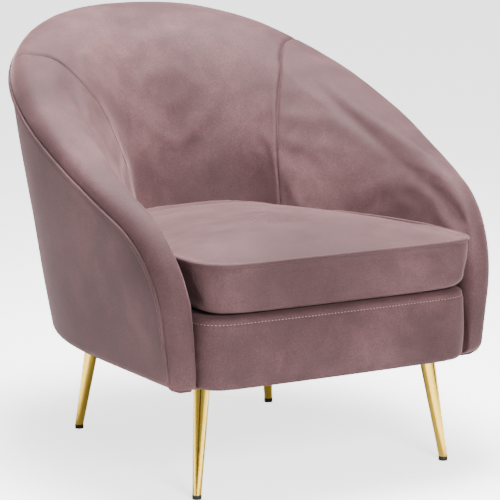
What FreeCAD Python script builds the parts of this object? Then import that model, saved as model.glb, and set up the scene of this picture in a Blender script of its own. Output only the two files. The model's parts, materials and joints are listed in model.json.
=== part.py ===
import FreeCAD, Part
import Sketcher
import math
import os

# Tub armchair: a curved wooden shell upholstered in velvet, a loose seat cushion on
# sprung rails and four slanted steel legs.
# Frame of the model: +Z up, floor at z = 0, the front of the chair faces -Y, and the
# origin is on the floor under the middle of the whole chair.

os.makedirs("parts", exist_ok=True)
doc = FreeCAD.newDocument("armchair")
V = FreeCAD.Vector


# ---------------------------------------------------------------- driving dimensions
dims = doc.addObject("Spreadsheet::Sheet", "Dims")
DIMENSIONS = [
    # outer shell: half width and rear reach in plan, at the base and at the top level
    ("base_height", 205.0), ("top_level", 800.0),
    ("base_half_width", 327.0), ("top_half_width", 429.0),
    ("base_rear", 301.0), ("top_rear", 445.0),
    ("base_squareness", 3.1), ("top_squareness", 2.4),
    ("arm_front", 372.0), ("arm_bend", 164.0), ("arm_toe_in", 31.0),
    # rim line in side view
    ("rim_height", 596.0), ("rim_slope", 0.41),
    ("roll_rise", 36.0), ("roll_half", 38.0), ("roll_overhang", 28.0), ("roll_corner", 200.0),
    # how far the inner face stands inside the outer one, at the arm fronts and the back
    ("arm_depth", 25.0), ("back_depth", 160.0), ("belly_height", 280.0), ("full_depth_row", 282.0),
    ("belly_share", 0.2), ("belly_growth", 1200.0), ("belly_power", 0.435), ("depth_power", 1.7),
    ("seat_level", 440.0), ("seat_drop", 30.0), ("seam_station", 0.64),
    ("arm_rib_station", 1.0), ("back_rib_station", 0.42),
    # layers
    ("cover", 2.5), ("panel", 3.0), ("arm_foam", 20.0), ("back_foam", 45.0),
    ("welt", 7.0), ("pad_foot", 328.0), ("front_foam", 36.0), ("foam_hook", 25.0),
    ("foam_corner", 10.0), ("rim_gap", 5.0),
    # wooden frame
    ("frame_foot", 209.0), ("panel_foot", 224.0), ("post_foot", 216.0), ("board", 22.0),
    ("ring_depth", 20.0), ("ring_height", 40.0), ("ring_inset", 11.0),
    ("rim_board", 18.0), ("rail", 25.0), ("rail_top", 322.0), ("seat_frame_half", 247.0),
    ("front_rail_face", 406.0), ("rear_rail_room", 350.0), ("rear_rail_half", 228.0),
    ("rear_rail_face", "=rear_rail_room - back_depth"), ("block_leg", 62.0),
    ("tie_length", 49.0), ("tie_row", -326.0),
    # front border
    ("border_half", 277.0), ("border_front", 424.0), ("border_top", 337.0),
    ("border_corner", 50.0), ("border_depth", 60.0),
    # springs and deck
    ("wire", 3.6), ("spring_loop", 13.0), ("spring_width", 48.0), ("spring_spacing", 88.0),
    ("spring_count", 5.0), ("deck_cloth", 1.5), ("deck_front", 360.0), ("deck_foam", 12.0),
    ("deck_gap", 8.0), ("deck_corner", 12.0), ("clip_width", 16.0), ("clip_length", 10.0),
    ("clip_wall", 1.0),
    # loose cushion
    ("cushion_bottom", 342.0), ("cushion_edge", 431.0), ("cushion_crown", 30.0),
    ("cushion_front", 438.0), ("cushion_half", 280.0), ("cushion_corner", 65.0), ("cushion_gap", 6.0),
    ("cushion_room", 296.0), ("cushion_rear", "=cushion_room - back_depth"),
    ("cushion_cover", 2.0), ("crown_share", 0.5), ("cord", 7.0),
    # zip in the rear band of the cushion
    ("zip_length", 150.0), ("zip_height", 26.0), ("zip_thick", 1.2), ("zip_level", 386.0),
    ("slider_length", 9.0), ("slider_height", 8.0), ("slider_thick", 3.0), ("zip_gap", 0.4),
    # legs
    ("leg_top_x", 239.0), ("leg_top_front", 329.0), ("leg_top_rear", 181.0),
    ("leg_rear_x", 191.0), ("leg_splay", 25.0), ("leg_top_diameter", 30.0),
    ("leg_foot_diameter", 16.0), ("glide_height", 8.0), ("glide_diameter", 17.0),
    ("plate_size", 64.0), ("plate_thick", 3.0), ("plate_corner", 8.0), ("dust_cover", 1.2),
    ("dust_gap", 8.0),
    ("screw_hole", 5.0), ("screw_pitch", 48.0), ("screw_head", 9.0), ("screw_head_height", 2.0),
]
for row, (alias, value) in enumerate(DIMENSIONS, start=1):
    dims.set("A%d" % row, alias)
    dims.set("B%d" % row, str(value))
    dims.setAlias("B%d" % row, alias)
doc.recompute()


def d(alias):
    return float(dims.get(alias))


# ---------------------------------------------------------------- shared geometry
BASE = d("base_height")
REACH = 520.0                        # half size of the cutting blocks, larger than the chair
SLOPE = math.atan(d("rim_slope"))
PART_LABELS = []


def part_feature(label, shape):
    """A sub-part whose shape is neither a primitive nor a padded sketch."""
    feature = doc.addObject("Part::Feature", label)
    feature.Label = label
    feature.Shape = shape
    feature.Placement = FreeCAD.Placement()
    PART_LABELS.append(label)
    return feature


def between(level):
    """0 at the base of the outer shell, 1 at its top level."""
    return (level - BASE) / (d("top_level") - BASE)


def mix(low, high, share):
    return low + (high - low) * share


def outer_point(station, level, inset=0.0):
    """Point of the outer shell. Stations -1..1 run round the back from one bend of the
    arms to the other, and beyond +-1 they run forward along an arm to +-2."""
    share = between(level)
    half = mix(d("base_half_width"), d("top_half_width"), share) - inset
    rear = mix(d("base_rear"), d("top_rear"), share) - inset
    power = mix(d("base_squareness"), d("top_squareness"), share)
    bend = -d("arm_bend")
    side = 1.0 if station > 0 else -1.0
    if abs(station) > 1.0:
        forward = (abs(station) - 1.0) * (d("arm_front") + d("roll_overhang") + bend)
        toe_in = d("arm_toe_in") * share * (forward / (d("arm_front") + bend)) ** 2
        return V(side * (half - toe_in), bend - forward, level)
    angle = station * math.pi / 2.0
    across = abs(math.sin(angle))
    along = math.cos(angle)
    reach = (across ** power + along ** power) ** (-1.0 / power)
    return V(side * half * across * reach, bend + (rear - bend) * along * reach, level)


def inward(station):
    """Horizontal direction from the outer face into the seat, at mid height."""
    step = 0.01
    level = mix(BASE, d("top_level"), 0.6)
    first = outer_point(max(station - step, -2.0), level)
    last = outer_point(min(station + step, 2.0), level)
    run = last - first
    if abs(station) >= 1.0:
        run = V(0.0, -1.0 if station > 0 else 1.0, 0.0)
    direction = V(run.y, -run.x, 0.0)
    return direction.normalize()


def profile_height(y, rise, front, corner):
    """Height of the rim line at y, raised square to the slope, rounded into the front."""
    line = d("rim_height") + rise
    centre_y = corner - front
    centre_z = line + d("rim_slope") * centre_y - corner / math.cos(SLOPE)
    if y >= centre_y - corner * math.sin(SLOPE):
        return line + d("rim_slope") * y
    offset = min(max(centre_y - y, 0.0), corner)
    return centre_z + math.sqrt(max(corner ** 2 - offset ** 2, 0.0))


def spaced_curve(points):
    """One smooth curve through the points, with evenly spaced parameters."""
    curve = Part.BSplineCurve()
    last = len(points) - 1
    curve.interpolate(Points=points, Parameters=[i / last for i in range(last + 1)])
    return curve.toShape()


def arm_station(y):
    """Station of the arm section at a row forward of the bend."""
    length = d("arm_front") + d("roll_overhang") - d("arm_bend")
    return 1.0 + (-y - d("arm_bend")) / length


def stations_between(first, last):
    """Stations from one end to the other: close together round the front of each arm."""
    bend = d("arm_bend")
    front = d("arm_front") + d("roll_overhang")
    corner = min(d("roll_corner"), 0.9 * (front - bend))
    marks = [arm_station(corner * (1.0 - math.cos(share * math.pi / 2.0)) - front)
             for share in (0.0, 0.12, 0.26, 0.42, 0.6, 0.8, 1.0)]
    marks += [0.96, 0.84, 0.72, 0.6, 0.48, 0.36, 0.24, 0.12]
    marks = marks + [0.0] + [-mark for mark in reversed(marks)]
    least = 0.03
    inside = [mark for mark in marks if last + least < mark < first - least]
    return [first] + inside + [last]


def crest_height(station):
    """Height of the top of the padded roll over a station."""
    level = d("rim_height")
    for _ in range(6):
        outer = outer_point(station, level - d("roll_rise"))
        level = profile_height(outer.y, d("roll_rise"), d("arm_front") + d("roll_overhang"),
                               d("roll_corner"))
    return level


def wall_depth(station):
    """How much thicker than the roll the wall gets below the crest."""
    outer = outer_point(station, d("top_level"))
    front = d("arm_front") + d("roll_overhang")
    share = min((outer.y + front) / (front + d("full_depth_row")), 1.0)
    eased = math.sin(math.pi / 2.0 * max(share, 0.0)) ** d("depth_power")
    return mix(d("arm_depth"), d("back_depth"), eased)


def belly(station):
    """Depth below the crest over which the wall reaches its full thickness."""
    wall_height = crest_height(station) - BASE
    return min(d("belly_height"), wall_height * (d("belly_share") + wall_height / d("belly_growth")))


def inner_offset(station, below):
    """Distance from the outer face to the inner face at a depth below the crest."""
    share = min(below / belly(station), 1.0)
    bulge = (1.0 - (1.0 - share) ** 2) ** d("belly_power")
    return d("roll_half") + wall_depth(station) * bulge


def inner_point(station, level, foam=0.0):
    """Point of the inner face, or of the foam's back when foam is its thickness."""
    crest = crest_height(station)
    shoulder = crest - d("roll_rise")
    outer = outer_point(station, min(level, shoulder))
    point = outer + inward(station) * (inner_offset(station, crest - level) - foam)
    return V(point.x, point.y, level)


def seat_level(station):
    """Level below which the inner face runs straight down."""
    return min(d("seat_level"), crest_height(station) - d("seat_drop"))


def foam_depth(station):
    share = (wall_depth(station) - d("arm_depth")) / (d("back_depth") - d("arm_depth"))
    return mix(d("arm_foam"), d("back_foam"), share)


def closed_section(station, *curves):
    """Flat closed wire square to the wall: each list of points is one smooth curve,
    and straight edges join the end of one to the start of the next."""
    origin = outer_point(station, d("rim_height"))
    across = inward(station)
    along = V(-across.y, across.x, 0.0)
    flat = [[point - along * (point - origin).dot(along) for point in curve] for curve in curves]
    edges = []
    for i, curve in enumerate(flat):
        following = flat[(i + 1) % len(flat)]
        if len(curve) == 2:
            edges.append(Part.LineSegment(curve[0], curve[1]).toShape())
        elif len(curve) > 2:
            edges.append(spaced_curve(curve))
        edges.append(Part.LineSegment(curve[-1], following[0]).toShape())
    return Part.Wire(edges)


def along_wall(section, first, last):
    """Solid through the sections from one station to another."""
    return Part.makeLoft([section(s) for s in stations_between(first, last)], True, False)


def face_curve(station, inset, low):
    """Inner skin of the wall at an inset: from above the welt over the roll to its foot."""
    crest = crest_height(station)
    shoulder = crest - d("roll_rise")
    direction = inward(station)
    outer = outer_point(station, shoulder)
    points = []
    for turn in (12.0, 36.0, 62.0, 90.0):
        angle = math.radians(turn)
        rise = (d("roll_rise") - inset) * math.sin(angle)
        offset = d("roll_half") - (d("roll_half") - inset) * math.cos(angle)
        points.append(V(outer.x, outer.y, shoulder + rise) + direction * offset)
    lowest = seat_level(station)
    for i in range(1, 8):
        below = (crest - lowest) * (i / 7.0) ** 1.6
        level = crest - below
        point = inner_point(station, level, inset * min(below / d("roll_rise"), 1.0))
        drop = inset * max(1.0 - below / d("roll_rise"), 0.0)
        points.append(V(point.x, point.y, level - drop))
    foot = points[-1]
    points.append(V(foot.x, foot.y, mix(foot.z, low, 0.5)))
    points.append(V(foot.x, foot.y, low))
    return points


def frame_top(station):
    return crest_height(station) - d("roll_rise") - d("rim_gap")


def foam_back(station, low, high, clearance=0.0):
    """Back of the foam, or a board's clearance behind it, from a low level to a high one."""
    lowest = min(seat_level(station), high - d("foam_hook"))
    foam = foam_depth(station) + SKIN
    curve = [inner_point(station, mix(lowest, high, i / 4.0), foam) for i in range(5)]
    curve = [point - inward(station) * clearance for point in curve]
    foot = V(curve[0].x, curve[0].y, low)
    return foot, curve


def level_face(station, low, high, inset):
    return [outer_point(station, mix(low, high, i / 3.0), inset) for i in range(4)]


def seat_outline(inset, side, front, corner, level):
    """Closed outline of what lies between the arms, with rounded front corners."""
    stations = [1.75 - 3.5 * i / 36 for i in range(37)]
    points = []
    for station in stations:
        point = inner_point(station, seat_level(station)) + inward(station) * inset
        points.append(V(point.x, point.y, level))
    bend = corner * (1.0 - math.sqrt(0.5))
    right = V(side, -front + corner, level)
    right_front = V(side - corner, -front, level)
    left_front = V(corner - side, -front, level)
    left = V(-side, -front + corner, level)
    return Part.Wire([
        spaced_curve(points),
        Part.LineSegment(points[-1], left).toShape(),
        Part.Arc(left, V(bend - side, bend - front, level), left_front).toShape(),
        Part.LineSegment(left_front, right_front).toShape(),
        Part.Arc(right_front, V(side - bend, bend - front, level), right).toShape(),
        Part.LineSegment(right, points[0]).toShape(),
    ])


def slab(low, high):
    """Box between two corners."""
    size = high - low
    return Part.makeBox(size.x, size.y, size.z, low)


def rows(front_y, rear_y, low_z=0.0, high_z=2.0 * REACH):
    """Everything between two rows across the chair."""
    return slab(V(-REACH, front_y, low_z), V(REACH, rear_y, high_z))


# ---------------------------------------------------------------- upholstered wall
FRONT = 2.0                                  # station of the arm fronts
SEAM = d("seam_station")                     # station of the seams between arms and back
SKIN = d("cover")
CLEARANCE = 2.2                              # between the boards and the panel outside them
FOAM_CLEARANCE = 4.5                         # between the boards and the foam in front
BEHIND_PANEL = d("cover") + d("panel") + CLEARANCE
UNDER_PANEL = SKIN + 0.5                     # the panel's outer face, just under the velvet
UNDER_SKIN = SKIN + 0.6                      # the foam lies just under the velvet
POST_FACE = arm_station(d("front_foam") - d("arm_front") - d("roll_overhang"))
POST_BACK = arm_station(d("front_foam") + d("board") - d("arm_front") - d("roll_overhang"))


def cover_section(station, low):
    """Velvet over an arm or the back, down to a low level."""
    inner = face_curve(station, SKIN, low)
    return closed_section(station, face_curve(station, 0.0, low), inner[::-1])


def pad_section(station):
    """Foam between the velvet and the wooden frame, hooked over the rim rail."""
    low = d("pad_foot")
    foot, back = foam_back(station, low, frame_top(station))
    corner = outer_point(station, frame_top(station), d("foam_corner"))
    return closed_section(station, face_curve(station, UNDER_SKIN, low), [foot], back, [corner])


def front_section(station):
    """Foam across the whole thickness of an arm, in front of its post."""
    outer = level_face(station, BASE, frame_top(station), UNDER_SKIN)
    corner = outer_point(station, frame_top(station), d("foam_corner"))
    return closed_section(station, outer, [corner], face_curve(station, UNDER_SKIN, BASE))


def outside_section(station):
    top = crest_height(station) - d("roll_rise") - 0.5 * d("welt") - 0.8
    outer = level_face(station, BASE, top, 0.0)
    return closed_section(station, outer, level_face(station, BASE, top, SKIN)[::-1])


def panel_section(station):
    top = frame_top(station)
    outer = level_face(station, d("panel_foot"), top, UNDER_PANEL)
    inner = level_face(station, d("panel_foot"), top, UNDER_PANEL + d("panel"))
    return closed_section(station, outer, inner[::-1])


def welt_section(station):
    """Cord between the outside cover and the inside covers."""
    half = 0.5 * d("welt")
    shoulder = crest_height(station) - d("roll_rise")
    centre = outer_point(station, shoulder)
    direction = inward(station)
    corners = []
    for across, up in ((-half, -half), (half, -half), (half, half), (-half, half)):
        corners.append([centre + direction * across + V(0.0, 0.0, up + 0.1)])
    return closed_section(station, *corners)


def ring_section(station):
    low = d("frame_foot")
    high = low + d("ring_height")
    outer = level_face(station, low, high, d("ring_inset"))
    inner = level_face(station, low, high, d("ring_inset") + d("ring_depth"))
    return closed_section(station, [outer[0], outer[-1]], [inner[-1], inner[0]])


def rim_section(station):
    high = frame_top(station) - 0.5
    low = high - d("rim_board")
    outer = level_face(station, low, high, BEHIND_PANEL)
    inner = level_face(station, low, high, BEHIND_PANEL + d("ring_depth"))
    return closed_section(station, [outer[0], outer[-1]], [inner[-1], inner[0]])


def post_section(station, low, high):
    """Upright board between the outer panel and the back of the foam."""
    foot, back = foam_back(station, low, high, FOAM_CLEARANCE)
    outer = level_face(station, low, high, BEHIND_PANEL)
    return closed_section(station, outer, back[::-1], [foot])


def rib(station, low):
    """Flat upright board under the rim rail, centred on a station."""
    high = frame_top(station) - d("rim_board") - 0.5 * d("board") * d("rim_slope") - CLEARANCE
    across = inward(station)
    along = V(-across.y, across.x, 0.0)
    face = Part.Face(post_section(station, low, high))
    face.translate(along * (-0.5 * d("board")))
    return face.extrude(along * d("board"))


FIT = 0.5                                    # glue gap under the ribs
ON_RING = d("frame_foot") + d("ring_height") + FIT
part_feature("outside_cover", along_wall(outside_section, FRONT, -FRONT))
part_feature("rim_welt", along_wall(welt_section, FRONT, -FRONT))
part_feature("base_ring", along_wall(ring_section, POST_BACK - 0.01, 0.01 - POST_BACK))
part_feature("rim_rail", along_wall(rim_section, POST_BACK - 0.01, 0.01 - POST_BACK))
part_feature("outer_panel_rear", along_wall(panel_section, SEAM, -SEAM))
part_feature("back_cover", along_wall(lambda s: cover_section(s, d("pad_foot")), SEAM, -SEAM))
part_feature("back_pad", along_wall(pad_section, SEAM, -SEAM))
for name, side in (("right", 1.0), ("left", -1.0)):
    arm = sorted((side * POST_FACE, side * SEAM), reverse=True)
    front = sorted((side * FRONT, side * POST_FACE), reverse=True)
    post = sorted((side * POST_FACE, side * POST_BACK), reverse=True)
    part_feature("arm_cover_" + name, along_wall(
        lambda s: cover_section(s, d("pad_foot")), *arm))
    part_feature("arm_pad_" + name, along_wall(pad_section, *arm))
    part_feature("arm_front_pad_" + name, along_wall(front_section, *front))
    part_feature("outer_panel_" + name, along_wall(panel_section, *arm))
    part_feature("front_post_" + name, along_wall(
        lambda s: post_section(s, d("post_foot"), frame_top(s) - 0.5 * d("rim_board")), *post))
    part_feature("arm_rib_" + name, rib(side * d("arm_rib_station"), ON_RING))
    part_feature("back_rib_" + name, rib(side * d("back_rib_station"), d("rail_top") + FIT))
part_feature("centre_rib", rib(0.0, ON_RING))


# ---------------------------------------------------------------- padded sketches
def origin_plane(body, role):
    return [item for item in body.Origin.OriginFeatures if item.Role == role][0]


def new_body(label):
    body = doc.addObject("PartDesign::Body", label)
    body.Label = label
    PART_LABELS.append(label)
    return body


def rectangle(body, name, x_size, y_size, offset=None):
    """Rectangle sketch centred on the body's own axis, its sides bound to expressions."""
    sketch = body.newObject("Sketcher::SketchObject", name)
    sketch.AttachmentSupport = [(origin_plane(body, "XY_Plane"), "")]
    sketch.MapMode = "FlatFace"
    corners = [V(-10, -10, 0), V(10, -10, 0), V(10, 10, 0), V(-10, 10, 0)]
    for i in range(4):
        sketch.addGeometry(Part.LineSegment(corners[i], corners[(i + 1) % 4]), False)
    for i in range(4):
        sketch.addConstraint(Sketcher.Constraint("Coincident", i, 2, (i + 1) % 4, 1))
    for i, kind in enumerate(("Horizontal", "Vertical", "Horizontal", "Vertical")):
        sketch.addConstraint(Sketcher.Constraint(kind, i))
    sketch.addConstraint(Sketcher.Constraint("Symmetric", 0, 1, 1, 2, -1, 1))
    width = sketch.addConstraint(Sketcher.Constraint("Distance", 0, 20.0))
    depth = sketch.addConstraint(Sketcher.Constraint("Distance", 1, 20.0))
    sketch.setExpression("Constraints[%d]" % width, x_size)
    sketch.setExpression("Constraints[%d]" % depth, y_size)
    if offset:
        sketch.setExpression("AttachmentOffset.Base.z", offset)
    return sketch


def pad(body, name, sketch, length):
    feature = body.newObject("PartDesign::Pad", name)
    feature.Profile = sketch
    feature.setExpression("Length", length)
    return feature


def place(body, x, y, z):
    for axis, expression in zip("xyz", (x, y, z)):
        body.setExpression("Placement.Base." + axis, expression)


def board(label, x_size, y_size, z_size, x, y, z):
    """Rectangular board: its size, and the middle of its underside, as expressions."""
    body = new_body(label)
    pad(body, label + "_pad", rectangle(body, label + "_sketch", x_size, y_size), z_size)
    place(body, x, y, z)
    return body


# ---------------------------------------------------------------- seat frame
RAIL_HEIGHT = "Dims.rail_top - Dims.frame_foot"
SIDE_LENGTH = "Dims.front_rail_face + Dims.rear_rail_face - 2 * Dims.rail"
board("front_rail", "2 * Dims.seat_frame_half", "Dims.rail", RAIL_HEIGHT,
      "0", "Dims.rail / 2 - Dims.front_rail_face", "Dims.frame_foot")
board("rear_rail", "2 * Dims.rear_rail_half", "Dims.rail", RAIL_HEIGHT,
      "0", "Dims.rear_rail_face - Dims.rail / 2", "Dims.frame_foot")
for name, side in (("right", "1"), ("left", "-1")):
    board("side_rail_" + name, "Dims.rail", SIDE_LENGTH, RAIL_HEIGHT,
          side + " * (Dims.seat_frame_half - Dims.rail / 2)",
          "(Dims.rear_rail_face - Dims.front_rail_face) / 2", "Dims.frame_foot")
    board("tie_" + name, "Dims.tie_length", "Dims.rail", "Dims.ring_height",
          side + " * (Dims.seat_frame_half + Dims.tie_length / 2)",
          "Dims.tie_row", "Dims.frame_foot")


def corner_block(label, x_side, y_side, x, y):
    """Triangular glue block in a corner of the seat frame."""
    body = new_body(label)
    sketch = body.newObject("Sketcher::SketchObject", label + "_sketch")
    sketch.AttachmentSupport = [(origin_plane(body, "XY_Plane"), "")]
    sketch.MapMode = "FlatFace"
    leg = d("block_leg")
    corners = [V(0, 0, 0), V(x_side * leg, 0, 0), V(0, y_side * leg, 0)]
    for i in range(3):
        sketch.addGeometry(Part.LineSegment(corners[i], corners[(i + 1) % 3]), False)
    for i in range(3):
        sketch.addConstraint(Sketcher.Constraint("Coincident", i, 2, (i + 1) % 3, 1))
    sketch.addConstraint(Sketcher.Constraint("Coincident", 0, 1, -1, 1))
    sketch.addConstraint(Sketcher.Constraint("Horizontal", 0))
    sketch.addConstraint(Sketcher.Constraint("Vertical", 2))
    for line in (0, 2):
        index = sketch.addConstraint(Sketcher.Constraint("Distance", line, leg))
        sketch.setExpression("Constraints[%d]" % index, "Dims.block_leg")
    pad(body, label + "_pad", sketch, RAIL_HEIGHT + " - 10")
    place(body, x, y, "Dims.frame_foot")


INNER_X = "(Dims.seat_frame_half - Dims.rail)"
for name, x_side in (("right", 1), ("left", -1)):
    inner_x = "%d * %s" % (x_side, INNER_X)
    corner_block("corner_block_front_" + name, -x_side, 1, inner_x,
                 "Dims.rail - Dims.front_rail_face")
    corner_block("corner_block_rear_" + name, -x_side, -1, inner_x,
                 "Dims.rear_rail_face - Dims.rail")


# ---------------------------------------------------------------- springs and deck
def spring_path(x):
    """Zigzag wire of straight bars joined by half circles, from rail to rail."""
    loop = d("spring_loop")
    half = 0.5 * d("spring_width") - loop
    level = d("rail_top") + 0.5 * d("wire")
    first = 0.5 * d("rail") - d("front_rail_face")
    last = d("rear_rail_face") - 0.5 * d("rail")
    bars = int((last - first) / (2.0 * loop)) + 1
    step = (last - first) / (bars - 1)
    edges = []
    for i in range(bars):
        y = first + i * step
        start = -1.0 if i % 2 == 0 else 1.0
        edges.append(Part.LineSegment(V(x + start * half, y, level),
                                      V(x - start * half, y, level)).toShape())
        if i < bars - 1:
            middle = V(x - start * (half + 0.5 * step), y + 0.5 * step, level)
            edges.append(Part.Arc(V(x - start * half, y, level), middle,
                                  V(x - start * half, y + step, level)).toShape())
    return Part.Wire(edges)


def spring(x):
    path = spring_path(x)
    start = path.Edges[0].Vertexes[0].Point
    circle = Part.Circle(start, V(1.0, 0.0, 0.0), 0.5 * d("wire"))
    return path.makePipeShell([Part.Wire(circle.toShape())], True, False)


def spring_clip(x, y):
    """Steel strap over the end bar of a spring."""
    wire = 0.5 * d("wire")
    bore_radius = wire + 0.1
    half_width = 0.5 * d("clip_width")
    half_length = 0.5 * d("clip_length")
    rail = d("rail_top")
    strap = slab(V(x - half_width, y - half_length, rail),
                 V(x + half_width, y + half_length, rail + 2.0 * wire + d("clip_wall")))
    start = V(x - d("clip_width"), y, rail + wire)
    bore = Part.makeCylinder(bore_radius, 2.0 * d("clip_width"), start, V(1.0, 0.0, 0.0))
    slot = slab(V(x - d("clip_width"), y - bore_radius, rail - wire),
                V(x + d("clip_width"), y + bore_radius, rail + wire))
    return strap.cut(bore.fuse(slot))


COLUMNS = [(i - 0.5 * (d("spring_count") - 1.0)) * d("spring_spacing")
           for i in range(int(d("spring_count")))]
clips = []
for x in COLUMNS:
    clips.append(spring_clip(x, 0.5 * d("rail") - d("front_rail_face")))
    clips.append(spring_clip(x, d("rear_rail_face") - 0.5 * d("rail")))
part_feature("seat_springs", Part.Compound([spring(x) for x in COLUMNS]))
part_feature("spring_clips", Part.Compound(clips))

DECK_LEVEL = d("pad_foot") + 0.2


def deck_layer(low, thickness):
    gap = d("deck_gap")
    outline = seat_outline(gap, d("border_half") - gap, d("deck_front"), d("deck_corner"), low)
    return Part.Face(outline).extrude(V(0.0, 0.0, thickness))


part_feature("deck_cloth", deck_layer(DECK_LEVEL, d("deck_cloth")))
part_feature("deck_foam", deck_layer(DECK_LEVEL + d("deck_cloth"), d("deck_foam")))


# ---------------------------------------------------------------- front border
def border_block(inset, rear_row, low, high):
    half = d("border_half") - inset
    front = inset - d("border_front")
    corner = d("border_corner") - inset
    block = slab(V(-half, front, low), V(half, rear_row, high))
    upright = [e for e in block.Edges
               if abs(e.BoundBox.ZLength) > 1.0 and e.BoundBox.YMax < front + 0.1]
    return block.makeFillet(corner, upright)


border_rear = d("border_depth") - d("border_front")
outer_block = border_block(0.0, border_rear, BASE, d("border_top"))
inner_block = border_block(SKIN, border_rear + 1.0, BASE - 1.0, d("border_top") - SKIN)
part_feature("border_cover", outer_block.cut(inner_block))
rail_room = slab(V(-d("seat_frame_half") - 0.2, -d("front_rail_face") - 0.2, 0.0),
                 V(d("seat_frame_half") + 0.2, REACH, d("rail_top") + 0.2))
foam_block = border_block(SKIN, border_rear, d("frame_foot"), d("border_top") - SKIN)
foam_block = foam_block.cut(rows(d("rail") - d("front_rail_face"), REACH))
clip_room = slab(V(-d("seat_frame_half"), 0.5 * d("rail") - d("front_rail_face") - 8.0, 0.0),
                 V(d("seat_frame_half"), REACH, d("border_top")))
part_feature("border_foam", foam_block.cut(rail_room).cut(clip_room))


# ---------------------------------------------------------------- loose cushion
def cushion_outline(inset, level):
    return seat_outline(d("cushion_gap") + inset, d("cushion_half") - inset,
                        d("cushion_front") - inset, d("cushion_corner") - inset, level)


def cushion_block(inset, low, high, crown):
    """Cushion body with a raised middle; the rear is cut straight for the zip."""
    body = Part.Face(cushion_outline(inset, low)).extrude(V(0.0, 0.0, high - low))
    edge = cushion_outline(inset, high)
    middle = V(0.0, 0.5 * (d("cushion_rear") - d("cushion_front")), high)
    top = edge.copy()
    grow = FreeCAD.Matrix()
    grow.move(-middle)
    grow.scale(d("crown_share"), d("crown_share"), 1.0)
    grow.move(middle + V(0.0, 0.0, crown))
    top = top.transformGeometry(grow)
    hip = Part.makeLoft([edge, top], True, True)
    rear = slab(V(-REACH, -REACH, 0.0), V(REACH, d("cushion_rear") - inset, 2.0 * REACH))
    return body.fuse(hip).removeSplitter().common(rear)


ply = d("cushion_cover")
cushion_outer = cushion_block(0.0, d("cushion_bottom"), d("cushion_edge"), d("cushion_crown"))
cushion_inner = cushion_block(ply, d("cushion_bottom") + ply, d("cushion_edge"),
                              d("cushion_crown") - ply)
part_feature("cushion_cover", cushion_outer.cut(cushion_inner))
part_feature("cushion_core", cushion_inner)
half_cord = 0.5 * d("cord")


def ring_block(inset, low, high):
    block = Part.Face(cushion_outline(inset, low)).extrude(V(0.0, 0.0, high - low))
    return block.common(rows(-REACH, d("cushion_rear") - inset))


def cord_ring():
    """Cord round the top edge of the cushion, against the outside of its cover."""
    low = d("cushion_edge") - half_cord
    band = ring_block(-half_cord, low, low + d("cord"))
    return band.cut(ring_block(-0.05, low - 1.0, low + d("cord") + 1.0))


part_feature("cushion_welt", cord_ring())
board("cushion_zip", "Dims.zip_length", "Dims.zip_thick", "Dims.zip_height", "0",
      "Dims.cushion_rear + Dims.zip_thick / 2", "Dims.zip_level - Dims.zip_height / 2")
board("zip_slider", "Dims.slider_length", "Dims.slider_thick", "Dims.slider_height",
      "Dims.zip_length / 2 - Dims.slider_length",
      "Dims.cushion_rear + Dims.zip_thick + Dims.zip_gap + Dims.slider_thick / 2",
      "Dims.zip_level - Dims.slider_height / 2")


# ---------------------------------------------------------------- underside and legs
def dust_cover():
    low = d("frame_foot") - d("dust_cover")
    gap = d("dust_gap")
    points = [outer_point(POST_BACK - 2.0 * POST_BACK * i / 36, BASE, gap) for i in range(37)]
    points = [V(point.x, point.y, low) for point in points]
    half = d("border_half") - gap
    front = gap - d("border_front") + d("border_corner")
    edges = [spaced_curve(points)]
    corners = [points[-1], V(-half, points[-1].y, low), V(-half, front, low), V(half, front, low),
               V(half, points[0].y, low), points[0]]
    for i in range(5):
        edges.append(Part.LineSegment(corners[i], corners[i + 1]).toShape())
    return Part.Face(Part.Wire(edges)).extrude(V(0.0, 0.0, d("dust_cover")))


part_feature("dust_cover", dust_cover())
PLATE_LEVEL = "Dims.frame_foot - Dims.dust_cover - Dims.plate_thick"
LEGS = [("front_right", 1, -1, "Dims.leg_top_x", "Dims.leg_top_front"),
        ("front_left", -1, -1, "Dims.leg_top_x", "Dims.leg_top_front"),
        ("rear_right", 1, 1, "Dims.leg_rear_x", "Dims.leg_top_rear"),
        ("rear_left", -1, 1, "Dims.leg_rear_x", "Dims.leg_top_rear")]


def circle_sketch(body, name, diameter, x, y, level):
    """Circle on a level above the body's own floor plane, shifted sideways."""
    sketch = body.newObject("Sketcher::SketchObject", name)
    sketch.AttachmentSupport = [(origin_plane(body, "XY_Plane"), "")]
    sketch.MapMode = "FlatFace"
    sketch.addGeometry(Part.Circle(V(0, 0, 0), V(0, 0, 1), 8.0), False)
    sketch.addConstraint(Sketcher.Constraint("Coincident", 0, 3, -1, 1))
    index = sketch.addConstraint(Sketcher.Constraint("Diameter", 0, 16.0))
    sketch.setExpression("Constraints[%d]" % index, diameter)
    sketch.setExpression("AttachmentOffset.Base.x", x)
    sketch.setExpression("AttachmentOffset.Base.y", y)
    sketch.setExpression("AttachmentOffset.Base.z", level)
    return sketch


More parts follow.
